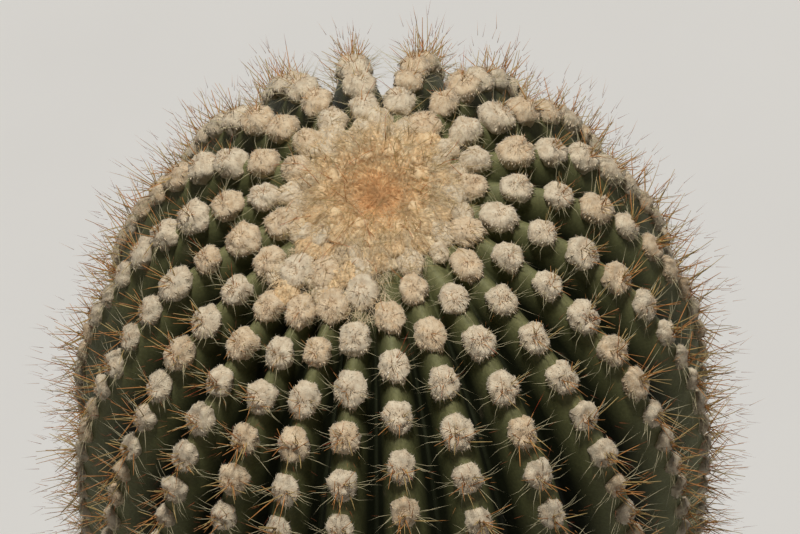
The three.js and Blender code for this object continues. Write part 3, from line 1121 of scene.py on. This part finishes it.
def round_growing_point(radius, angle, height):
    x = GROWING_POINT[0] + radius * np.sin(angle)
    y = GROWING_POINT[1] - radius * np.cos(angle)
    return np.stack(np.broadcast_arrays(x, y, height), axis=-1)


def cushion():
    share = (np.arange(1, CUSHION_RINGS + 1) / CUSHION_RINGS)[:, None]
    angle = (TAU * np.arange(CUSHION_COLUMNS) / CUSHION_COLUMNS)[None, :]
    ragged = CUSHION_RAGGED * share * np.sin(CUSHION_LOBES * angle + CUSHION_TURN)
    radius = CUSHION_RADIUS * share * (1 + ragged)
    first, second = (np.sin(radius * wind + arms * angle) for wind, arms in CUSHION_SWIRLS)
    lumps = CUSHION_LUMPS * first * second * (1 - share**4)
    points = round_growing_point(radius, angle, cushion_height(radius) + lumps)
    under = points[-1] - [0, 0, CUSHION_EDGE + CUSHION_SKIRT]
    return np.concatenate([points, under[None]])


crown_felt = mesh_object("crown_felt", *closed_rings(cushion()))
print("crown felt:", triangles(crown_felt), "triangles")

# %% [markdown]
# The felt's colour follows the distance from the growing point, which a vector node measures in
# object coordinates. A little noise on that distance keeps the orange from ending in a circle.

# %% The finish of the felt
ORANGE_SHIFT = np.array([0.0, -4.0, 0.0])
ORANGE_REACH = 50.0
ORANGE_RAGGED = 14.0
ORANGE_STOPS = [(0.30, (0.74, 0.45, 0.21)), (0.50, (0.84, 0.62, 0.34)), (0.72, (0.84, 0.70, 0.47))]


def crown_finish():
    """Felt that is orange-tan over the growing point and golden cream further out."""
    material, tree, shader = new_material("crown_felt", **FELTED)
    coordinates = put(tree, "ShaderNodeTexCoord").outputs["Object"]
    feeds = {0: coordinates, 1: tuple((GROWING_POINT + ORANGE_SHIFT) * MM)}
    distance = put(tree, "ShaderNodeVectorMath", feeds, operation="DISTANCE").outputs["Value"]
    calc = arithmetic(tree)
    ragged = calc("MULTIPLY", noise(tree, 160.0, 3.0), ORANGE_RAGGED * MM)
    share = calc("MULTIPLY", calc("ADD", distance, ragged), 1 / (ORANGE_REACH * MM))
    clumps = ramp(tree, noise(tree, 300.0, 4.0), [(0.35, grey(0.82)), (0.6, grey(1.06))])
    colour = blend(tree, 1.0, ramp(tree, share, ORANGE_STOPS), clumps, "MULTIPLY")
    tree.links.new(colour, shader.inputs["Base Color"])
    bump(tree, shader, noise(tree, 1300.0, 4.0, 0.7), 0.6, 0.0005)
    return material


crown_material = crown_finish()
crown_felt.data.materials.append(crown_material)
print(f"{crown_material.name}: {len(crown_material.node_tree.nodes)} nodes")

# %% [markdown]
# A spiral whose turns follow the golden angle spreads young pads evenly round a middle, as a plant
# does. They lean outwards the more the further out they stand. The ones near the middle are
# golden, the outer ones cream, and most of the drift is golden again.

# %% Places of the young pads
CROWN_PADS = 52
CROWN_INNER, CROWN_OUTER = 19.0, 43.0
CROWN_SMALLEST, CROWN_GROWTH = 0.58, 0.26
CROWN_SINK = 1.8
CROWN_SPLAY = 0.35
GOLDEN_ANGLE = math.radians(137.508)
DRIFT_PADS = 22
DRIFT_HEADING = math.radians(-32)
DRIFT_SPREAD = 0.48
DRIFT_REACH = (38.0, 66.0)
DRIFT_SIZES = (0.55, 0.75)
DRIFT_SINK = 0.9

order = (np.arange(CROWN_PADS) + 0.5) / CROWN_PADS
spiral_radius = np.sqrt(CROWN_INNER**2 + (CROWN_OUTER**2 - CROWN_INNER**2) * order)
spiral_angle = np.arange(CROWN_PADS) * GOLDEN_ANGLE
spiral_size = CROWN_SMALLEST + CROWN_GROWTH * order
drift_radius = rng.uniform(*DRIFT_REACH, DRIFT_PADS)
drift_angle = DRIFT_HEADING + rng.uniform(-DRIFT_SPREAD, DRIFT_SPREAD, DRIFT_PADS)
drift_size = rng.uniform(*DRIFT_SIZES, DRIFT_PADS)
crown_radius = np.concatenate([spiral_radius, drift_radius])
crown_angle = np.concatenate([spiral_angle, drift_angle])
crown_size = np.concatenate([spiral_size, drift_size])
crown_sink = np.repeat([CROWN_SINK, DRIFT_SINK], [CROWN_PADS, DRIFT_PADS])


def away_from_middle(angle):
    return np.stack([np.sin(angle), -np.cos(angle), np.zeros_like(angle)], axis=-1)


crown_points = round_growing_point(crown_radius, crown_angle, cushion_height(crown_radius) - crown_sink)
crown_away = away_from_middle(crown_angle)
splay = CROWN_SPLAY * crown_radius / CROWN_OUTER
crown_out = unit(np.array([0, 0, 1.0]) + splay[:, None] * crown_away)
crown_down = unit(crown_away - (crown_away * crown_out).sum(axis=1, keepdims=True) * crown_out)
print(f"{CROWN_PADS} young pads round the growing point and {DRIFT_PADS} down the drift")

# %% Standing the young pads
GOLD_REACH, GOLD_SPREAD = 34.0, 6.0
DRIFT_GOLD_SHARE = 0.7
CROWN_KINDS = ("cores", "hairs", "hearts")
CROWN_TILT, CROWN_SIZES = 0.3, (0.8, 1.2)


def crown_seats(chosen):
    carried = {"outward": crown_out[chosen], "down": crown_down[chosen], "size": crown_size[chosen]}
    return with_patterns(mesh_object("seats", crown_points[chosen], [], carried))


crown_pieces = [crown_felt]
golden = crown_radius + rng.uniform(-GOLD_SPREAD, GOLD_SPREAD, len(crown_radius)) < GOLD_REACH
golden[CROWN_PADS:] = rng.random(DRIFT_PADS) < DRIFT_GOLD_SHARE
for tint, chosen, finishes in (
    ("gold", golden, (wool_gold, hair_gold, hair_gold)),
    ("cream", ~golden, (wool_cream, hair_sand, hair_gold)),
):
    where = crown_seats(chosen)
    for kind, finish in zip(CROWN_KINDS, finishes):
        label, pattern_set = f"crown_{kind}_{tint}", young_patterns[kind]
        crown_pieces.append(joined_piece(label, where, pattern_set, finish, CROWN_TILT, *CROWN_SIZES))
    drop(where)

# %% [markdown]
# Fur lies over the felt and the young pads: orange in the middle, then gold and sand, and more of
# it down the drift. These hairs are needles from the same helper as the spines, because it gives
# each one a bend of its own. Long straws and red-tipped young spines stand out of the fur, and
# some of those spines stand in the pads beside the crown.

# %% Fur, straws and red-tipped young spines
FURS = {  # count, reach, lift, upright, lengths, thickness and spread, as crown_needles takes them
    "fur_orange": (1500, (0, 24), 0.8, 0.5, (3.5, 7.5), 0.24, math.pi),
    "fur_gold": (2300, (12, 36), 1.2, 0.15, (5, 10), 0.20, math.pi),
    "fur_sand": (1500, (24, 46), 1.2, 0.15, (5, 10), 0.20, math.pi),
    "fur_drift": (1300, (36, 68), 0.6, 0.4, (5, 11), 0.22, 0.55),
    "straws": (340, (14, 50), 2.0, 0.9, (9, 18), 0.30, math.pi),
}
FUR_FINISHES = (fur_orange, hair_gold, hair_sand, hair_sand, spine_straw)
FUR_DEPTH = 1.5
FUR_AWAY = (-0.2, 1.6)
LIMP = (-0.4, -0.4, -0.45), (0.4, 0.4, 0.0)
YOUNG_THICKNESS = 0.50
YOUNG_ON_CROWN = (34, (14, 44), 1.5, 1.4, (10, 17), YOUNG_THICKNESS, math.pi)
YOUNG_ON_PADS = 60
YOUNG_PADS_TO = 130.0
YOUNG_LIFT = 3.0
YOUNG_LENGTHS = (12, 20)
YOUNG_SCATTER = (-0.9, -0.9, -0.3), (0.9, 0.9, 0.9)
YOUNG_SHAFT_SHARES = (0.0, 0.3, 0.58)
YOUNG_TIP_SHARES = (0.56, 0.8, 1.0)


def crown_needles(count, reach, lift, upright, lengths, thickness, spread):
    """Bent needles over the felt, most of them outwards, within a spread of the drift's heading."""
    radius = rng.uniform(*reach, count)
    angle = DRIFT_HEADING + rng.uniform(-spread, spread, count)
    height = cushion_height(radius) + rng.uniform(lift, lift + FUR_DEPTH, count)
    starts = round_growing_point(radius, angle, height)
    away = away_from_middle(angle) * rng.uniform(*FUR_AWAY, (count, 1))
    aims = away + between((-1, -1, 0.0), (1, 1, upright), count)
    bends = between(*LIMP, count)
    return starts, aims, rng.uniform(*lengths, count), np.full(count, thickness), bends


def pad_needles(count):
    """Bent needles that stand in all directions in the pads next to the crown."""
    seat = rng.choice(np.flatnonzero(seat_length < YOUNG_PADS_TO), count)
    starts = seat_point[seat] + YOUNG_LIFT * seat_out[seat]
    aims = seat_out[seat] + between(*YOUNG_SCATTER, count)
    bends = between(*LIMP, count)
    return starts, aims, rng.uniform(*YOUNG_LENGTHS, count), np.full(count, YOUNG_THICKNESS), bends


def crown_piece(name, spray, shares, finish):
    made = mesh_object(name, *needles(*spray, shares))
    made.data.materials.append(finish)
    crown_pieces.append(made)


for (label, values), finish in zip(FURS.items(), FUR_FINISHES):
    crown_piece(f"crown_{label}", crown_needles(*values), WHOLE_SHARES, finish)
crown_spray = crown_needles(*YOUNG_ON_CROWN)
young_spines = [np.concatenate(pair) for pair in zip(crown_spray, pad_needles(YOUNG_ON_PADS))]
crown_piece("crown_spines", young_spines, YOUNG_SHAFT_SHARES, spine_amber)
crown_piece("crown_spine_tips", young_spines, YOUNG_TIP_SHARES, spine_red)
drop(hair)
print("crown:", sum(triangles(piece) for piece in crown_pieces), "triangles")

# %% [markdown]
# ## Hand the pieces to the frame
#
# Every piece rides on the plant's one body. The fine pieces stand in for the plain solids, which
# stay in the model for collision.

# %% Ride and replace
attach(skin, "root")
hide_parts("stem")
for piece in pads + spines:
    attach(piece, "root")
    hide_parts(*ROWS)
for piece in crown_pieces:
    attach(piece, "root")
    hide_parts("crown_wool")
print("all pieces:", sum(triangles(piece) for piece in [skin, *pads, *spines, *crown_pieces]), "triangles")

# %% [markdown]
# ## Studio
#
# A pale floor, one fairly small light 6 m off, almost straight above and slightly behind, and a
# weak one in front that keeps the grooves from going black. Light from so high leaves the grooves
# dark between bright pads. The world gives a faint light from all round, and a Light Path node lets
# the camera see it as a pale wall.

# %% The floor
FLOOR_SIZE = 12.0
FLOOR_DROP = 0.5
FLOOR_STOPS = [(0.3, (0.88, 0.88, 0.87)), (0.7, (0.92, 0.92, 0.91))]


def flat_plate(name, size, height):
    half = size / 2 / MM
    corners = [(-half, -half, height), (half, -half, height), (half, half, height), (-half, half, height)]
    return mesh_object(name, corners, [(0, 1, 2, 3)], smooth_shade=False)


floor = flat_plate("floor", FLOOR_SIZE, -FLOOR_DROP)
floor_material, floor_tree, floor_shader = new_material("pale_floor", 0.8)
floor_colour = ramp(floor_tree, noise(floor_tree, 3.0), FLOOR_STOPS)
floor_tree.links.new(floor_colour, floor_shader.inputs["Base Color"])
floor.data.materials.append(floor_material)
print(f"the floor is {FLOOR_SIZE:.0f} m wide")

# %% Lights and world
DOME_MIDDLE = Vector((LEAN * MM, 0.0, EQUATOR_HEIGHT * MM))
WORLD_LIGHT = {"Color": (0.82, 0.88, 1.0, 1), "Strength": 0.045}
WORLD_WALL = {"Color": (0.94, 0.96, 1.0, 1), "Strength": 0.5}


def area_light(name, direction, distance, size, power, colour):
    """A round light some way from the dome, in a direction, turned to face it."""
    data = bpy.data.lights.new(name, "AREA")
    data.shape = "DISK"
    data.size = size
    data.energy = power
    data.color = colour
    light = bpy.data.objects.new(name, data)
    outward = Vector(direction).normalized()
    turn = outward.to_track_quat("Z", "Y").to_matrix().to_4x4()
    light.matrix_world = Matrix.Translation(DOME_MIDDLE + distance * outward) @ turn
    bpy.context.scene.collection.objects.link(light)
    print(f"{name} light: {power:.0f} W from {distance:.0f} m")


def studio_world():
    """A faint blue light from all round that looks like a pale wall where the camera sees it."""
    world = bpy.data.worlds.new("studio")
    world.use_nodes = True
    tree = world.node_tree
    seen = put(tree, "ShaderNodeLightPath").outputs["Is Camera Ray"]
    faint, wall = (put(tree, "ShaderNodeBackground", feeds) for feeds in (WORLD_LIGHT, WORLD_WALL))
    mixed = put(tree, "ShaderNodeMixShader", {0: seen, 1: faint.outputs[0], 2: wall.outputs[0]})
    tree.links.new(mixed.outputs[0], tree.nodes["World Output"].inputs["Surface"])
    return world


area_light(
    "key", direction=(0.03, 0.18, 0.98), distance=6.0, size=1.0, power=316.0, colour=(1.0, 0.965, 0.91)
)
area_light(
    "fill", direction=(-0.1, -0.9, 0.4), distance=4.0, size=2.4, power=6.0, colour=(1.0, 0.94, 0.86)
)
bpy.context.scene.world = studio_world()
bpy.context.scene.view_settings.view_transform = "Standard"

# %% [markdown]
# The camera's place comes from the dome itself: 60 degrees above the horizon, about 20 dome radii
# away, and turned by 8 degrees, so the plant stands a little askew in the frame. From so far off a
# long lens is needed, and the ribs hardly converge.

# %% The camera
VIEW_ELEVATION = math.radians(59.8)
VIEW_ROLL = math.radians(-8.05)
VIEW_RADIUS = 0.160
VIEW_DISTANCE = 20.0 * VIEW_RADIUS
VIEW_AIM = (0.0266 * VIEW_RADIUS, 0.502 * VIEW_RADIUS)
FOCAL_PIXELS = 6392.0
IMAGE_WIDTH = 800
SENSOR_WIDTH = 36.0

back = Vector((0, -math.cos(VIEW_ELEVATION), math.sin(VIEW_ELEVATION)))
right, up = Vector((1, 0, 0)), Vector((0, math.sin(VIEW_ELEVATION), math.cos(VIEW_ELEVATION)))
rolled_right = math.cos(VIEW_ROLL) * right + math.sin(VIEW_ROLL) * up
rolled_up = -math.sin(VIEW_ROLL) * right + math.cos(VIEW_ROLL) * up
camera_data = bpy.data.cameras.new("camera")
camera_data.sensor_width = SENSOR_WIDTH
camera_data.lens = FOCAL_PIXELS / IMAGE_WIDTH * SENSOR_WIDTH
camera_data.clip_start, camera_data.clip_end = 0.1, 100.0
camera = bpy.data.objects.new("camera", camera_data)
spot = DOME_MIDDLE + VIEW_DISTANCE * back + VIEW_AIM[0] * rolled_right + VIEW_AIM[1] * rolled_up
turned = Matrix((rolled_right, rolled_up, back)).transposed().to_4x4()
camera.matrix_world = Matrix.Translation(spot) @ turned
bpy.context.scene.collection.objects.link(camera)
bpy.context.scene.camera = camera
bpy.context.view_layer.update()
print(f"lens {camera_data.lens:.0f} mm, {VIEW_DISTANCE:.2f} m from the dome")
